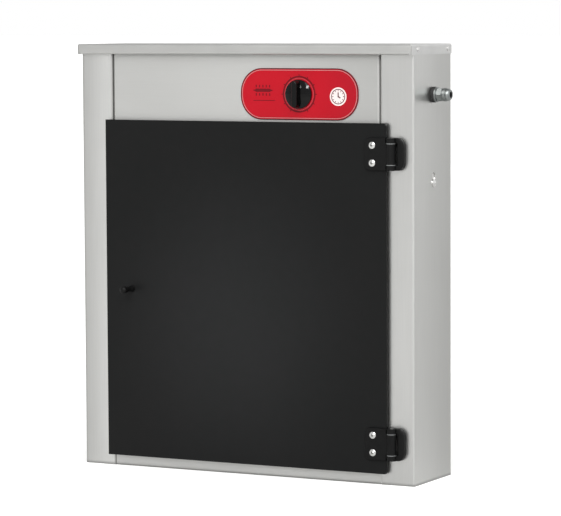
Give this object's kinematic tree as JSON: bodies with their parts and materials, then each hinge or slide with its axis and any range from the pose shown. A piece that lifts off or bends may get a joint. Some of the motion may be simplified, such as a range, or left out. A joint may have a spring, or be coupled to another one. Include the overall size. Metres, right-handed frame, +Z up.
{
  "type": "knife sterilizer cabinet",
  "caption": "Shallow upright stainless cabinet with a dark hinged door over a slotted knife rack and lamp, and a timer knob on a red panel above.",
  "frame": {"origin": "middle of the case's underside, where it stands", "axes": "+X to the right seen from the front, +Y from the door to the back, +Z up"},
  "size_m": [0.5502, 0.1575, 0.6],
  "materials": {
    "stainless_case": "satin, grained",
    "bright_fixings": "bright stainless",
    "zinc_steel": "zinc plated",
    "smoked_door": "dark smoked acrylic sheet, polished",
    "black_hinge": "black glass-filled nylon",
    "black_knob": "black moulded plastic",
    "red_label": "red printed plate under a clear film",
    "black_rubber": "soft",
    "grey_washer": "grey acetal",
    "gland_metal": "nickel-plated brass, dulled",
    "lamp_glass": "clear germicidal tube",
    "lamp_aluminium": "satin",
    "reflector_aluminium": "bright rolled",
    "brass_contacts": "plain",
    "white_plastic": "white thermoplastic",
    "dark_magnet": "dark ferrite",
    "painted_choke": "lacquered steel"
  },
  "bodies": {
    "cabinet": {"left_side_panel": "stainless_case", "right_side_panel": "stainless_case", "back_panel": "stainless_case", "bottom_pan": "stainless_case", "chamber_ceiling": "stainless_case", "fascia_panel": "stainless_case", "top_cover": "stainless_case", "cover_rivets": "bright_fixings", "lead_grommets": "black_rubber", "control_label": "red_label", "timer_body": "white_plastic", "timer_screws": "zinc_steel", "hinge_frame_leaves": "black_hinge", "hinge_pins": "bright_fixings", "hinge_washers": "grey_washer", "hinge_frame_studs": "zinc_steel", "hinge_frame_nuts": "zinc_steel", "magnetic_catch": "white_plastic", "catch_magnet": "dark_magnet", "reed_switch": "white_plastic", "door_bumpers": "black_rubber", "rack_bracket_left": "stainless_case", "rack_bracket_right": "stainless_case", "rack_studs": "bright_fixings", "lampholder_left": "white_plastic", "lampholder_right": "white_plastic", "lampholder_screws": "zinc_steel", "lamp_reflector": "reflector_aluminium", "lamp_conduits": "white_plastic", "ballast": "painted_choke", "ballast_screws": "zinc_steel", "starter_socket": "white_plastic", "starter": "lamp_aluminium", "terminal_block": "white_plastic", "terminal_screws": "zinc_steel", "earth_stud": "brass_contacts", "earth_nuts": "brass_contacts", "gland_body": "gland_metal", "gland_locknut": "gland_metal", "gland_dome_nut": "gland_metal", "gland_seal": "black_rubber"},
    "door": {"door_panel": "smoked_door", "hinge_door_leaves": "black_hinge", "hinge_door_screws": "bright_fixings", "hinge_cap_nuts": "bright_fixings", "door_pull": "black_knob", "pull_screw": "bright_fixings", "strike_plate": "zinc_steel", "reed_magnet": "white_plastic"},
    "timer": {"timer_spindle": "zinc_steel", "timer_knob": "black_knob"},
    "rack": {"knife_rack": "stainless_case"},
    "lamp": {"lamp_tube": "lamp_glass", "lamp_caps": "lamp_aluminium", "lamp_pins": "brass_contacts", "lampholder_rotors": "white_plastic"}
  },
  "joints": [
    {"name": "door_swing", "type": "hinge", "parent": "cabinet", "child": "door", "pos_m": [0.23, -0.0705, 0.2545], "axis": [0, 0, 1], "range_deg": [0, 160]},
    {"name": "timer_turn", "type": "hinge", "parent": "cabinet", "child": "timer", "pos_m": [0.087, -0.061, 0.5317], "axis": [0, 1, 0], "range_deg": [0, 300]},
    {"name": "rack_lift", "type": "slide", "parent": "cabinet", "child": "rack", "axis": [0, 0, 1], "range_m": [0, 0.012]},
    {"name": "lamp_twist", "type": "hinge", "parent": "cabinet", "child": "lamp", "pos_m": [0, 0.036, 0.2], "axis": [1, 0, 0], "range_deg": [0, 90]}
  ]
}
